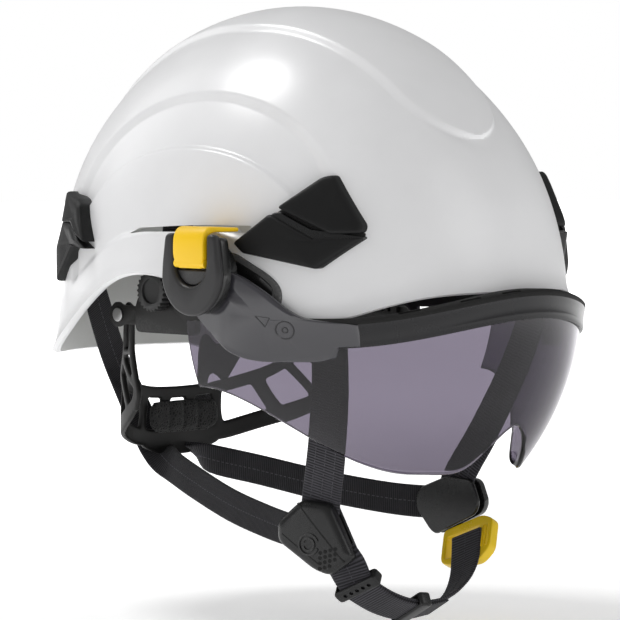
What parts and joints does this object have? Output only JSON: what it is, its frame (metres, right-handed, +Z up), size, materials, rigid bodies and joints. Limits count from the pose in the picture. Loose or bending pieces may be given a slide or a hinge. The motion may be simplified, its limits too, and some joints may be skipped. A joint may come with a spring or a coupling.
{
  "type": "arborist helmet",
  "caption": "Hard work-at-height helmet with textile crown suspension, sliding nape cradle, tilting smoke eye shield, lamp clips and an adjustable chinstrap.",
  "frame": {"origin": "middle of the head opening, at the level of the shell's widest line (mount head_seat)", "axes": "+Z up to the crown, the front faces -Y, +X is the wearer's left and the narrowest way across"},
  "size_m": [0.2392, 0.2928, 0.2949],
  "materials": {
    "shell_white": "gloss moulded ABS",
    "clip_black": "fine spark-eroded grain",
    "webbing": "ribbed polyester webbing",
    "comfort_pad": "foam faced with knitted fabric",
    "latch_yellow": "satin",
    "buckle_yellow": "satin gloss",
    "smoke_lens": "tinted polycarbonate, hard-coated",
    "smoke_frame": "translucent smoke polycarbonate, seen as dark satin",
    "pod_charcoal": "soft satin",
    "hub_black": "matte",
    "fitting_black": "satin acetal",
    "pin_steel": "plain",
    "nylon_charcoal": "matte nylon",
    "wheel_black": "knurled"
  },
  "bodies": {
    "helmet": {"outer_shell": "shell_white", "lamp_clip_front_right_upper": "clip_black", "lamp_clip_front_right_lower": "clip_black", "lamp_clip_front_left_upper": "clip_black", "lamp_clip_front_left_lower": "clip_black", "lamp_clip_rear_right": "clip_black", "lamp_clip_rear_left": "clip_black", "crown_strap_a": "webbing", "crown_strap_b": "webbing", "crown_strap_c": "webbing", "crown_patch": "nylon_charcoal", "front_anchor_right": "nylon_charcoal", "front_anchor_left": "nylon_charcoal", "side_anchor_right": "nylon_charcoal", "side_anchor_left": "nylon_charcoal", "rear_anchor_right": "nylon_charcoal", "rear_anchor_left": "nylon_charcoal", "headband": "nylon_charcoal", "brow_pad": "comfort_pad", "wheel_housing_right": "nylon_charcoal", "wheel_housing_left": "nylon_charcoal", "shield_base_right": "hub_black", "shield_base_left": "hub_black", "shield_drum_right": "hub_black", "shield_drum_left": "hub_black", "shield_pod_right": "pod_charcoal", "shield_pod_left": "pod_charcoal", "front_strap_right": "webbing", "front_strap_left": "webbing", "rear_strap_right": "webbing", "rear_strap_left": "webbing", "adjuster_right": "fitting_black", "adjuster_left": "fitting_black", "adjuster_back_right": "fitting_black", "adjuster_back_left": "fitting_black", "chin_strap": "webbing"},
    "wheel_right": {"size_wheel_right": "wheel_black"},
    "wheel_left": {"size_wheel_left": "wheel_black"},
    "size_carriage": {"size_rack_right": "nylon_charcoal", "size_rack_left": "nylon_charcoal", "cradle_pin_right": "pin_steel", "cradle_pin_left": "pin_steel"},
    "nape": {"nape_cradle": "nylon_charcoal", "nape_pad": "comfort_pad"},
    "latch_right": {"shield_latch_right": "latch_yellow"},
    "latch_left": {"shield_latch_left": "latch_yellow"},
    "eye_shield": {"shield_lens": "smoke_lens", "shield_brow_frame": "smoke_frame", "shield_arm_right": "smoke_frame", "shield_arm_left": "smoke_frame"},
    "slider": {"strap_slider": "fitting_black"},
    "keeper": {"strap_keeper": "fitting_black"},
    "buckle": {"chin_buckle": "buckle_yellow"}
  },
  "joints": [
    {"name": "shield_tilt", "type": "hinge", "parent": "helmet", "child": "eye_shield", "pos_m": [0, -0.043, 0.0125], "axis": [-1, 0, 0], "range_deg": [0, 58]},
    {"name": "latch_right_release", "type": "hinge", "parent": "helmet", "child": "latch_right", "pos_m": [-0.1173, -0.043, 0.0173], "axis": [0, -1, 0], "range_deg": [0, 11], "stiffness_Nm_per_rad": 0.06, "springref_deg": -5.73},
    {"name": "latch_left_release", "type": "hinge", "parent": "helmet", "child": "latch_left", "pos_m": [0.1173, -0.043, 0.0173], "axis": [0, 1, 0], "range_deg": [0, 11], "stiffness_Nm_per_rad": 0.06, "springref_deg": -5.73},
    {"name": "size_slide", "type": "slide", "parent": "helmet", "child": "size_carriage", "axis": [0, 1, 0], "range_m": [-0.01, 0.01], "deforming": ["rear_strap_right", "rear_strap_left"]},
    {"name": "nape_flip", "type": "hinge", "parent": "size_carriage", "child": "nape", "pos_m": [0, 0.062, -0.012], "axis": [-1, 0, 0], "range_deg": [0, 60], "deforming": ["rear_strap_right", "rear_strap_left"]},
    {"name": "size_wheel_right_turn", "type": "hinge", "parent": "helmet", "child": "wheel_right", "pos_m": [-0.075, 0.026, 0.001], "axis": [1, 0, 0], "range_deg": [-115, 115]},
    {"name": "size_wheel_left_turn", "type": "hinge", "parent": "helmet", "child": "wheel_left", "pos_m": [0.075, 0.026, 0.001], "axis": [1, 0, 0], "range_deg": [-115, 115]},
    {"name": "buckle_mode_slide", "type": "slide", "parent": "helmet", "child": "buckle", "axis": [0.0936, -0.9258, 0.3663], "range_m": [0, 0.0025]},
    {"name": "strap_slider_slide", "type": "slide", "parent": "helmet", "child": "slider", "axis": [0.7294, -0.1617, -0.6647], "range_m": [-0.0015, 0.0015]},
    {"name": "strap_keeper_slide", "type": "slide", "parent": "helmet", "child": "keeper", "axis": [0.9882, -0.1081, -0.1081], "range_m": [-0.004, 0.004]}
  ],
  "couplings": [
    {"joint": "size_wheel_right_turn", "follows": "size_slide", "rad_per_m": 200},
    {"joint": "size_wheel_left_turn", "follows": "size_slide", "rad_per_m": 200}
  ]
}
